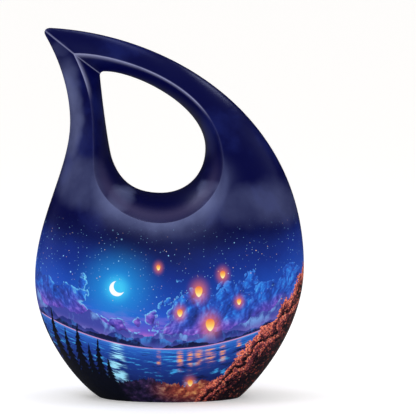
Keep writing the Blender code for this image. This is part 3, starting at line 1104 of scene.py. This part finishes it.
@dataclass
class Silhouette:
    """The urn's outlines from the front, and rays from a hub in the handle opening that cross them all."""

    width: float = 218.4
    foot_width: float = 114.4
    hub: Pair = (-7.3, 225.3)
    tip: Pair = (-103.9, 300.4)
    tip_trim: float = 8.0
    opening_trim: float = 3.0
    opening: tuple[Anchor, ...] = (
        (-56.3, 264.5, 12.0, 0.0, 20.5),
        (29.1, 202.9, -90.0, 37.1, 21.8),
        (-6.9, 166.7, 180.0, 20.6, 22.0),
        (-46.4, 194.4, 108.8, 18.8, 6.7),
        (-56.3, 264.5, 95.5, 36.3, 0.0),
    )
    crest: tuple[Anchor, ...] = (
        (-76.6, 279.3, 4.0, 0.0, 27.0),
        (43.1, 193.4, -90.0, 64.5, 26.0),
        (-7.1, 146.3, 180.0, 27.0, 29.1),
        (-60.2, 191.3, 91.0, 23.9, 39.5),
        (-76.6, 279.3, 117.0, 37.4, 0.0),
    )

    def __post_init__(self) -> None:
        """Draw the paths."""
        foot_end = self.foot_width / 2
        side = self.width / 2
        self.right = smooth_curve(((*self.tip, -1.2, 0.0, 101.2), (side, 107.0, -90.0, 124.7, 56.2),
                                   (foot_end, 0.0, -140.6, 10.4, 0.0)))
        self.left = smooth_curve(((-foot_end, 0.0, 150.0, 0.0, 18.4), (-side, 96.9, 90.0, 45.9, 48.3),
                                  (-80.3, 224.6, 90.0, 38.8, 21.1), (*self.tip, 122.6, 32.2, 0.0)))
        turns = np.linspace(0.0, math.pi, CURVE_STEPS)
        self.foot = np.stack((foot_end * np.cos(turns), np.zeros(CURVE_STEPS)), axis=1)
        edge = smooth_curve(self.opening)
        middle = len(edge) // 2
        tip = round_corner(self.left, self.right, self.tip_trim)
        self.outline_path = self.polar(np.concatenate((tip, self.foot)))
        self.crest_path = self.polar(smooth_curve(self.crest))
        self.opening_path = self.polar(round_corner(edge[middle:], edge[:middle], self.opening_trim))

    def corner_heading(self) -> float:
        """Heading from the hub to the corner of the crest, in radians."""
        return math.atan2(self.crest[0][1] - self.hub[1], self.crest[0][0] - self.hub[0])

    def turned_from_corner(self, points: Array) -> Array:
        """Angle around the hub of each point, counted clockwise from the corner of the crest."""
        away = points - np.array(self.hub)
        return self.corner_heading() - np.arctan2(away[:, 1], away[:, 0])

    def polar(self, points: Array) -> tuple[Array, Array]:
        """Turn a closed path into angles and radii around the hub.

        Args:
            points: The path, as rows of (x, z).

        Returns:
            Its angles in order, and the radius at each.
        """
        angle = self.turned_from_corner(points) % (2 * math.pi)
        order = np.argsort(angle)
        return angle[order], np.hypot(*(points - np.array(self.hub)).T)[order]

    def crossing(self, path: tuple[Array, Array], angles: Array) -> Array:
        """Find where rays cross a path.

        Args:
            path: The path's angles and radii.
            angles: The rays' angles.

        Returns:
            Rows of (x, z).
        """
        radius = np.interp(angles, *path, period=2 * math.pi)
        heading = self.corner_heading() - angles
        return np.array(self.hub) + radius[:, None] * np.stack((np.cos(heading), np.sin(heading)), axis=1)

    def ray_angles(self, counts: tuple[int, int, int]) -> Array:
        """Spread rays along the right side, the foot and the left side.

        Args:
            counts: Number of rays on each.

        Returns:
            Their angles.
        """
        angles = []
        for path, count in zip((self.right, self.foot, self.left), counts):
            reached = np.arange(len(path)) if path is self.foot else lengths_along(path)
            spread = np.linspace(0.0, reached[-1], count + 1)[:-1]
            stops = np.stack([np.interp(spread, reached, path[:, axis]) for axis in (0, 1)], axis=1)
            angles.append(self.turned_from_corner(stops) % (2 * math.pi))
        angles = np.concatenate(angles)
        angles[0] = 0.0
        return np.sort(angles)


@dataclass
class Casting:
    """The enamelled casting: skin, inner band, crest and the stopper's seat, as seen from outside."""

    name: str = "urn_casting"
    node: str = "urn_body"
    silhouette: Silhouette = field(default_factory=Silhouette)
    belly_depth: float = 126.0
    foot_depth: float = 66.6
    oval_top: float = 133.0
    arms_bottom: float = 213.0
    crest_share: float = 0.88
    arm_bulge: float = 0.62
    roll_drop: float = 4.0
    roll_reach: float = 15.0
    roll_fade: Pair = (166.0, 223.0)
    band_swell: float = 0.7
    seat_radius: float = 25.5
    seat_height: float = 3.4
    bore_radius: float = 21.0
    bore_top: float = 15.0
    rays: tuple[int, int, int] = (186, 64, 170)
    band_rows: int = 12
    crest_rows: int = 8
    skin_rows: int = 78
    band_rounding: float = 1.3
    corner_rounding: float = 2.2
    corner_spread: float = 30.0
    band_samples: int = 80
    skin_samples: int = 320
    tip_depth: float = 3.5
    skin_rounding: float = 0.5
    ridge_rounding: float = 0.45
    ridge_catch: float = 0.01
    sharp_angle: float = 40.0
    # Reach and strength of the painted highlight line along the crest and the ridge from the tip.
    line_highlight_inside: float = 1.3
    line_highlight_at_corner: float = 1.7
    line_highlight_outside: float = 0.6
    line_highlight_creases: float = 0.7
    line_highlight_low: float = 0.06
    line_highlight_to_right: Pair = (108.0, 145.0)
    line_highlight_to_left: Pair = (5.0, 22.0)
    # Reach and heights of the painted highlight under the rim.
    rim_highlight_reach: float = 12.0
    rim_highlight_heights: Pair = (160.0, 205.0)
    # Place and reach of the painted warm reflection on the inner band.
    band_reflection_at: float = -9.0
    band_reflection_reach: float = 8.0
    foot_level: float = 1.0
    foot_edge: tuple[Pair, ...] = ((1.006, 0.3), (0.993, -0.22), (0.992, -0.08))
    map_margin: float = 0.008
    underside_map: tuple[float, float, float, float] = (0.447, 0.87, 0.00135, 0.00195)
    underside_taper: float = 60.0

    def __post_init__(self) -> None:
        """Draw the half depth against height."""
        self.depth_curve = smooth_curve(((self.foot_depth / 2, 0.0, 48.0, 0.0, 26.0),
                                         (self.belly_depth / 2, 88.0, 90.0, 43.0, 32.0),
                                         (self.tip_depth, self.silhouette.tip[1], 109.0, 130.0, 0.0)))

    def centre_depth(self, z: Array) -> Array:
        """Half of the urn's depth in the middle of its section at a height."""
        return np.interp(z, self.depth_curve[:, 1], self.depth_curve[:, 0])

    def oval_depth(self, points: Array) -> Array:
        """Half depth of the skin where the section is a full oval.

        Args:
            points: Points as (x, z) along the last axis.

        Returns:
            How far the skin stands in front of the middle plane at each.
        """
        x, z = points[..., 0], points[..., 1]
        left = np.interp(z, self.silhouette.left[:, 1], self.silhouette.left[:, 0])
        right = np.interp(z, self.silhouette.right[::-1, 1], self.silhouette.right[::-1, 0])
        across = np.clip((2 * x - left - right) / (right - left), -1.0, 1.0)
        return self.centre_depth(z) * np.sqrt(1.0 - across**2)

    def skin(self, crest: Array, outline: Array, share: Array) -> Array:
        """Points of the front skin.

        Args:
            crest: Where each ray crosses the crest, as (x, z).
            outline: Where it crosses the outline.
            share: Shares of the way from the one to the other.

        Returns:
            Points of each ray and share.
        """
        crest = crest[:, None, :]
        flat = crest + (outline[:, None, :] - crest) * share[None, :, None]
        z = flat[..., 1]
        arm_depth = self.crest_share * self.centre_depth(crest[..., 1]) * (1.0 - share) ** self.arm_bulge
        blend = smooth_step(z, self.oval_top, self.arms_bottom)
        depth = (1.0 - blend) * self.oval_depth(flat) + blend * arm_depth
        beyond = share * np.linalg.norm(outline - crest[:, 0, :], axis=1)[:, None]
        roll = self.roll_drop * np.clip(1.0 - beyond / self.roll_reach, 0.0, 1.0) ** 2
        depth = depth - roll * (1.0 - smooth_step(crest[..., 1], *self.roll_fade))
        return np.stack((flat[..., 0], -depth, z), axis=-1)

    def band(self, opening: Array, crest: Array, share: Array) -> Array:
        """Points of the band inside the opening.

        Args:
            opening: Where each ray crosses the edge of the opening, as (x, z).
            crest: The crest's point on each ray, as (x, y, z).
            share: Shares of the way from the one to the other.

        Returns:
            Points of each ray and share.
        """
        swell = ((1.0 - self.band_swell) * share + self.band_swell * share**2)[None, :, None]
        flat = opening[:, None, :] + (crest[:, None, [0, 2]] - opening[:, None, :]) * swell
        return np.stack((flat[..., 0], crest[:, None, 1] * share, flat[..., 1]), axis=-1)

    def front_rows(self, angles: Array) -> tuple[Array, Array, dict[str, Array]]:
        """Rows of points over the front half, from the edge of the opening to the outline.

        Args:
            angles: The rays' angles.

        Returns:
            Points by ray and row, the length along the section at each, and the shares painted on them.
        """
        shape = self.silhouette
        opening = shape.crossing(shape.opening_path, angles)
        crest = shape.crossing(shape.crest_path, angles)
        outline = shape.crossing(shape.outline_path, angles)
        band_shares = np.linspace(0.0, 1.0, self.band_samples + 1)
        skin_shares = (1.0 - np.cos(np.linspace(0.0, math.pi, self.skin_samples + 1))) / 2
        skin = self.skin(crest, outline, skin_shares)
        section = np.concatenate((self.band(opening, skin[:, 0], band_shares), skin[:, 1:]), axis=1)
        reached = lengths_along(section)
        crest_at = reached[:, self.band_samples]
        near_corner = self.near_corner(angles)
        before = crest_at - self.band_rounding - self.corner_rounding * near_corner
        after = crest_at + self.skin_rounding
        skin_run = np.linspace(0.0, 1.0, self.skin_rows + 1)
        skin_run = (skin_run + np.sin(skin_run * math.pi / 2)) / 2
        band_run = np.linspace(0.0, 1.0, self.band_rows + 1)[None, :-1]
        crest_run = np.linspace(0.0, 1.0, self.crest_rows + 1)[None, :-1]
        stops = np.concatenate((
            before[:, None] * band_run,
            before[:, None] + (after - before)[:, None] * crest_run,
            after[:, None] + (reached[:, -1] - after)[:, None] * skin_run[None, :],
        ), axis=1)
        rows = self.read_section(section, reached, stops)
        run = ((stops - before[:, None]) / (after - before)[:, None])[..., None]
        start = self.read_section(section, reached, before[:, None])
        end = self.read_section(section, reached, after[:, None])
        peak = section[:, self.band_samples, None]
        rounded = start * (1 - run) ** 2 + 2 * peak * run * (1 - run) + end * run**2
        shares = self.painted_shares(stops - crest_at[:, None], crest[:, 1], angles)
        return np.where((run > 0) & (run < 1), rounded, rows), stops, shares

    def near_corner(self, angles: Array) -> Array:
        """How close each ray is to the corner of the crest, from 0 to 1."""
        return np.exp(-((np.minimum(angles, 2 * math.pi - angles) / math.radians(self.corner_spread)) ** 2))

    def painted_shares(self, beyond: Array, crest_z: Array, angles: Array) -> dict[str, Array]:
        """Work out the painted highlights and the painted reflection that the enamel's colour follows along
        the crest.

        Args:
            beyond: Length from the crest to each point, negative on the inner band.
            crest_z: Height of the crest on each ray.
            angles: The rays' angles.

        Returns:
            By name, shares by ray and row: the painted highlight line along the crest, the painted highlight
                under the rim and the painted reflection on the band.
        """
        # Painted highlight line along the crest, wider at the corner and strong on the ridge from the tip.
        inside = self.line_highlight_inside + self.line_highlight_at_corner * self.near_corner(angles)[:, None]
        reach = np.where(beyond < 0, inside, self.line_highlight_outside)
        turned = np.degrees(angles)
        to_right = smooth_step(turned, *self.line_highlight_to_right)
        to_left = smooth_step(360.0 - turned, *self.line_highlight_to_left)
        away = np.minimum(to_right, to_left)
        line_highlight = np.exp(-((beyond / reach) ** 2)) * (1.0 - (1.0 - self.line_highlight_low) * away)[:, None]
        line_highlight[0] = np.maximum(line_highlight[0], self.line_highlight_creases)
        # Painted highlight under the rim and painted reflection on the band, both only low on the crest.
        low = 1.0 - smooth_step(crest_z, *self.rim_highlight_heights)[:, None]
        painted_highlight = np.where(beyond < 0, 0.0, np.exp(-((beyond / self.rim_highlight_reach) ** 2))) * low
        band_reflection = np.exp(-(((beyond - self.band_reflection_at) / self.band_reflection_reach) ** 2)) * (beyond < 0) * low
        return {CREST_LINE_HIGHLIGHT: line_highlight, RIM_HIGHLIGHT: painted_highlight, BAND_REFLECTION: band_reflection}

    def read_section(self, section: Array, reached: Array, stops: Array) -> Array:
        """Read each ray's section at given lengths along it.

        Args:
            section: Points by ray.
            reached: The length along the section at each point.
            stops: The lengths to read at, by ray.

        Returns:
            Points by ray and stop.
        """
        axes = [[np.interp(*ray) for ray in zip(stops, reached, section[..., axis])] for axis in range(3)]
        return np.stack(axes, axis=-1)

    def build(self) -> BMesh:
        """Model the casting.

        Returns:
            Its closed mesh in millimetres, with a texture map for baking.
        """
        angles = self.silhouette.ray_angles(self.rays)
        points, lengths, shares = self.front_rows(angles)
        bm = bmesh.new()
        ray_count, row_count, _ = points.shape
        bmesh.ops.create_grid(bm, x_segments=ray_count, y_segments=row_count - 1, size=0.5)
        reach = bm.verts.layers.float.new(REACH)
        painted = {bm.verts.layers.float.new(name): values for name, values in shares.items()}
        opening = self.silhouette.crossing(self.silhouette.opening_path, angles)
        inner = np.hypot(*(opening - np.array(self.silhouette.hub)).T)
        for vertex in bm.verts:
            ray = round((vertex.co.x + 0.5) * ray_count) % ray_count
            row = round((vertex.co.y + 0.5) * (row_count - 1))
            vertex.co = points[ray, row]
            vertex[reach] = inner[ray] + lengths[ray, row]
            for layer, values in painted.items():
                vertex[layer] = values[ray, row]
        bmesh.ops.remove_doubles(bm, verts=bm.verts, dist=MERGE_REACH)
        everything = bm.verts[:] + bm.edges[:] + bm.faces[:]
        bmesh.ops.mirror(bm, geom=everything, matrix=Matrix.Identity(4), merge_dist=MERGE_REACH, axis="Y")
        self.lay_out_map(bm)
        self.round_ridges(bm)
        self.lay_out_underside(bm, self.model_underside(bm))
        bmesh.ops.recalc_face_normals(bm, faces=bm.faces)
        return bm

    def round_ridges(self, bm: BMesh) -> None:
        """Round the ridge that runs from the tip to the corner of the crest.

        Args:
            bm: The mesh.
        """
        heading = self.silhouette.corner_heading()
        hub = self.silhouette.hub
        ahead = Vector((math.cos(heading), 0.0, math.sin(heading)))
        across = Vector((-ahead.z, 0.0, ahead.x))
        start = Vector((hub[0], 0.0, hub[1]))
        crest_reach = (Vector(self.silhouette.crest[0][:2]) - Vector(hub)).length + self.skin_rounding
        on_ray = set()
        for vertex in bm.verts:
            away = vertex.co - start
            if abs(away @ across) < self.ridge_catch and away @ ahead > crest_reach:
                on_ray.add(vertex)
        ridge = [edge for edge in bm.edges if edge.verts[0] in on_ray and edge.verts[1] in on_ray]
        bmesh.ops.bevel(bm, geom=ridge, offset=self.ridge_rounding, segments=2, profile=0.5, affect="EDGES",
                        material=-1, clamp_overlap=True)
        left_open = [edge for edge in bm.edges if edge.is_boundary and edge.verts[0].co.z > self.foot_level]
        bmesh.ops.holes_fill(bm, edges=left_open, sides=0)

    def model_underside(self, bm: BMesh) -> list[BMFace]:
        """Turn the foot's edge in and close it with a flat underside and the stopper's stepped seat.

        Args:
            bm: The mesh, open at the foot.

        Returns:
            The underside's faces.
        """
        skin = set(bm.faces)
        ring = [edge for edge in bm.edges if edge.is_boundary]
        verts = list({vertex for edge in ring for vertex in edge.verts})
        spread, rise = self.foot_edge[0]
        bmesh.ops.scale(bm, vec=(spread, spread, 1.0), verts=verts)
        bmesh.ops.translate(bm, vec=(0.0, 0.0, rise), verts=verts)
        for spread, rise in self.foot_edge[1:]:
            ring = self.pull(bm, ring, spread, rise)
        circle = bmesh.ops.create_circle(bm, segments=len(ring), radius=self.seat_radius)["verts"]
        seat = list({edge for vertex in circle for edge in vertex.link_edges})
        bmesh.ops.bridge_loops(bm, edges=ring + seat)
        seat = self.pull(bm, seat, 1.0, self.seat_height)
        seat = self.pull(bm, seat, self.bore_radius / self.seat_radius, 0.0)
        seat = self.pull(bm, seat, 1.0, self.bore_top - self.seat_height)
        bmesh.ops.holes_fill(bm, edges=seat, sides=0)
        return [face for face in bm.faces if face not in skin]

    def pull(self, bm: BMesh, ring: list[BMEdge], scale: float, rise: float) -> list[BMEdge]:
        """Extrude a ring, then scale it about the Z axis and raise it.

        Args:
            bm: The mesh.
            ring: The ring's edges.
            scale: Scale across.
            rise: How far up.

        Returns:
            The new ring's edges.
        """
        made = bmesh.ops.extrude_edge_only(bm, edges=ring)["geom"]
        verts = [item for item in made if isinstance(item, BMVert)]
        bmesh.ops.scale(bm, vec=(scale, scale, 1.0), verts=verts)
        bmesh.ops.translate(bm, vec=(0.0, 0.0, rise), verts=verts)
        edges = {item for item in made if isinstance(item, BMEdge)}
        fresh = set(verts)
        return [edge for edge in edges if edge.verts[0] in fresh and edge.verts[1] in fresh]

    def lay_out_map(self, bm: BMesh) -> None:
        """Lay the front and the back side by side, unrolled outwards from the hub, in the map for baking.

        Args:
            bm: The mesh, open at the foot.
        """
        reach = bm.verts.layers.float[REACH]
        layer = bm.loops.layers.uv.new(BAKE_MAP)
        hub = Vector(self.silhouette.hub)
        flat: dict[BMVert, Vector] = {}
        for vertex in bm.verts:
            away = Vector((vertex.co.x, vertex.co.z)) - hub
            flat[vertex] = away.normalized() * vertex[reach]
        low = Vector((min(p.x for p in flat.values()), min(p.y for p in flat.values())))
        high = Vector((max(p.x for p in flat.values()), max(p.y for p in flat.values())))
        margin = self.map_margin
        for face in bm.faces:
            front = sum(vertex.co.y for vertex in face.verts) < 0.0
            for loop in face.loops:
                place = flat[loop.vert]
                across = (place.x - low.x) / (high.x - low.x)
                up = (place.y - low.y) / (high.y - low.y)
                half = across * (0.5 - 2 * margin) + margin
                loop[layer].uv = (half if front else 1.0 - half, margin + up * (1.0 - 2 * margin))

    def lay_out_underside(self, bm: BMesh, faces: list[BMFace]) -> None:
        """Lay the underside in a free corner of the map, drawn in towards its middle with height.

        Args:
            bm: The mesh.
            faces: The underside's faces.
        """
        layer = bm.loops.layers.uv[BAKE_MAP]
        middle_u, middle_v, scale_u, scale_v = self.underside_map
        for face in faces:
            for loop in face.loops:
                x, y, z = loop.vert.co
                drawn = 1.0 - z / self.underside_taper
                loop[layer].uv = (middle_u + y * drawn * scale_u, middle_v + x * drawn * scale_v)

    def make(self, finish: NavyEnamel) -> bpy.types.Object:
        """Build and dress the casting.

        Args:
            finish: Its finish.

        Returns:
            The piece.
        """
        piece = finish_piece(self.name, self.build(), finish.make(), self.sharp_angle)
        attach(piece, BODY)
        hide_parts(self.node)
        return piece


@dataclass
class Stopper:
    """The turned stopper in the underside: flange, plug and a slot for a coin."""

    name: str = "stopper"
    node: str = "base_stopper"
    flange_radius: float = 25.2
    flange_top: float = 3.1
    plug_radius: float = 20.7
    inset: float = 0.8
    top: float = 11.0
    chamfer: float = 0.8
    slot: Triple = (34.0, 3.2, 1.4)
    steps: int = 128

    def build(self) -> BMesh:
        """Turn the stopper from its profile.

        Returns:
            Its closed mesh in millimetres.
        """
        profile = (
            (0.0, self.inset),
            (self.flange_radius - self.chamfer, self.inset),
            (self.flange_radius, self.inset + self.chamfer),
            (self.flange_radius, self.flange_top),
            (self.plug_radius, self.flange_top),
            (self.plug_radius, self.top - self.chamfer),
            (self.plug_radius - self.chamfer, self.top),
            (0.0, self.top),
        )
        bm = bmesh.new()
        points = [bm.verts.new((radius, 0.0, z)) for radius, z in profile]
        edges = [bm.edges.new(pair) for pair in zip(points, points[1:])]
        bmesh.ops.spin(bm, geom=points + edges, cent=(0, 0, 0), axis=(0, 0, 1), steps=self.steps,
                       angle=2 * math.pi, use_merge=True)
        bmesh.ops.remove_doubles(bm, verts=bm.verts, dist=MERGE_REACH)
        bmesh.ops.recalc_face_normals(bm, faces=bm.faces)
        return bm

    def make(self, finish: TurnedMetal) -> bpy.types.Object:
        """Build and dress the stopper.

        Args:
            finish: Its finish.

        Returns:
            The piece.
        """
        piece = finish_piece(self.name, self.build(), finish.make())
        cutter = bmesh.new()
        length, width, depth = self.slot
        size = Matrix.Diagonal((length, width, 2 * depth, 1.0))
        bmesh.ops.create_cube(cutter, size=1.0, matrix=Matrix.Translation((0.0, 0.0, self.inset)) @ size)
        tool = finish_piece("coin_slot", cutter, piece.data.materials[0])
        cut = piece.modifiers.new("coin_slot", "BOOLEAN")
        cut.object = tool
        cut.operation = "DIFFERENCE"
        cut.solver = "EXACT"
        evaluated = piece.evaluated_get(bpy.context.evaluated_depsgraph_get())
        whole = bpy.data.meshes.new_from_object(evaluated)
        piece.modifiers.clear()
        piece.data = whole
        whole.set_sharp_from_angle(angle=math.radians(SHARP_ANGLE))
        bpy.data.objects.remove(tool)
        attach(piece, BODY)
        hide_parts(self.node)
        return piece


@dataclass(frozen=True)
class Softbox:
    """A soft area light: where it stands from the urn's middle, its size in metres, its power and colour."""

    name: str
    azimuth: float
    elevation: float
    distance: float
    size: Pair
    power: float
    colour: Colour = srgb(236, 240, 255)


@dataclass
class Studio:
    """The plain pale floor, the soft lights and the camera."""

    image_width: int = 416
    pixel: float = 0.00081084
    distance: float = 2.4948
    elevation: float = 5.0
    target: Triple = (0.03129, 0.0, 0.15416)
    sensor: float = 36.0
    sight: float = 200.0
    middle: Triple = (0.0, 0.0, 0.16)
    floor_radius: float = 30.0
    floor_colour: Colour = (0.93, 0.925, 0.92)
    floor_glow: float = 0.26
    floor_flag: float = 0.9
    backdrop: Colour = (1.0, 0.99, 0.98)
    daylight: float = 0.85
    mirrored: float = 0.02
    softboxes: tuple[Softbox, ...] = (
        Softbox("front", 10.0, 30.0, 1.3, (0.4, 0.35), 1.2),
        Softbox("top", 60.0, 84.0, 1.3, (0.4, 0.35), 1.6),
        Softbox("left_low", -100.0, -1.0, 1.0, (0.5, 0.42), 0.4),
        Softbox("left_high", -60.0, 58.0, 1.3, (0.4, 0.35), 1.8),
        Softbox("right", 90.0, 30.0, 1.3, (0.4, 0.35), 0.3),
        Softbox("rear_left", -120.0, 50.0, 1.3, (0.4, 0.4), 1.5),
        Softbox("rear_right", 122.0, 50.0, 1.3, (0.3, 0.25), 1.0),
    )

    def make(self) -> None:
        """Set the studio up."""
        bpy.context.scene.view_settings.view_transform = "Standard"
        self.make_floor()
        self.make_world()
        for softbox in self.softboxes:
            self.make_light(softbox)
        self.make_camera()

    def make_floor(self) -> None:
        """Lay the floor, which glossy rays see darker than it is, as under a dark flag."""
        bm = bmesh.new()
        bmesh.ops.create_circle(bm, segments=96, radius=self.floor_radius / MM, cap_ends=True)
        recipe = Recipe(bpy.data.materials.new("floor_paper"))
        recipe.set(Base_Color=self.floor_colour, Roughness=0.9, Specular_IOR_Level=0.1,
                   Emission_Color=self.floor_colour, Emission_Strength=self.floor_glow)
        flag = recipe.node("BsdfDiffuse", {}, {"Color": (0.0, 0.0, 0.0)})
        glossy = Signal(recipe, recipe.node("LightPath", {}, {}).outputs["Is Glossy Ray"])
        bare, dark = (Signal(recipe, node.outputs[0]) for node in (recipe.shader, flag))
        seen = recipe.node("MixShader", {}, {0: glossy * self.floor_flag, 1: bare, 2: dark})
        recipe.feed(recipe.tree.nodes["Material Output"].inputs["Surface"], Signal(recipe, seen.outputs[0]))
        recipe.owner.cycles.emission_sampling = "NONE"
        floor = finish_piece("floor", bm, recipe.owner)

    def make_world(self) -> None:
        """Light the studio evenly: white behind the urn, dim where the enamel mirrors it."""
        world = bpy.data.worlds.new("studio")
        bpy.context.scene.world = world
        recipe = Recipe(world)
        path = recipe.node("LightPath", {}, {})
        glossy = Signal(recipe, path.outputs["Is Glossy Ray"])
        camera = Signal(recipe, path.outputs["Is Camera Ray"])
        seen = recipe.math("MULTIPLY_ADD", glossy, self.mirrored - self.daylight, self.daylight)
        recipe.set(Color=self.backdrop, Strength=recipe.math("MAXIMUM", seen, camera))
        world.cycles.sampling_method = "NONE"

    def make_light(self, softbox: Softbox) -> None:
        """Stand a softbox up, facing the urn.

        Args:
            softbox: The softbox.
        """
        data = bpy.data.lights.new(softbox.name, "AREA")
        data.shape = "RECTANGLE"
        data.size, data.size_y = softbox.size
        data.energy = softbox.power
        data.color = softbox.colour
        light = bpy.data.objects.new(softbox.name, data)
        azimuth = math.radians(softbox.azimuth)
        elevation = math.radians(softbox.elevation)
        level = math.cos(elevation)
        away = Vector((math.sin(azimuth) * level, -math.cos(azimuth) * level, math.sin(elevation)))
        light.location = Vector(self.middle) + away * softbox.distance
        light.rotation_euler = away.to_track_quat("Z", "Y").to_euler()
        bpy.context.scene.collection.objects.link(light)

    def make_camera(self) -> None:
        """Place the camera at the photograph's angle."""
        data = bpy.data.cameras.new("camera")
        data.sensor_width = self.sensor
        data.lens = self.sensor * self.distance / (self.image_width * self.pixel)
        data.clip_end = self.sight
        camera = bpy.data.objects.new("camera", data)
        tilt = math.radians(self.elevation)
        camera.location = Vector(self.target) + Vector((0.0, -math.cos(tilt), math.sin(tilt))) * self.distance
        camera.rotation_euler = (math.pi / 2 - tilt, 0.0, 0.0)
        bpy.context.scene.collection.objects.link(camera)
        bpy.context.scene.camera = camera


def main() -> None:
    """Build the urn's pieces in order, then the studio."""
    logging.basicConfig(level=logging.INFO, format="%(name)s: %(message)s")
    makers: tuple[tuple[Any, Any], ...] = ((Casting(), NavyEnamel()), (Stopper(), TurnedMetal()))
    for sub_assembly, finish in makers:
        piece = sub_assembly.make(finish)
        LOG.info("%s: %d faces, %s", piece.name, len(piece.data.polygons), finish.name)
    Studio().make()


if __name__ == "__main__":
    main()
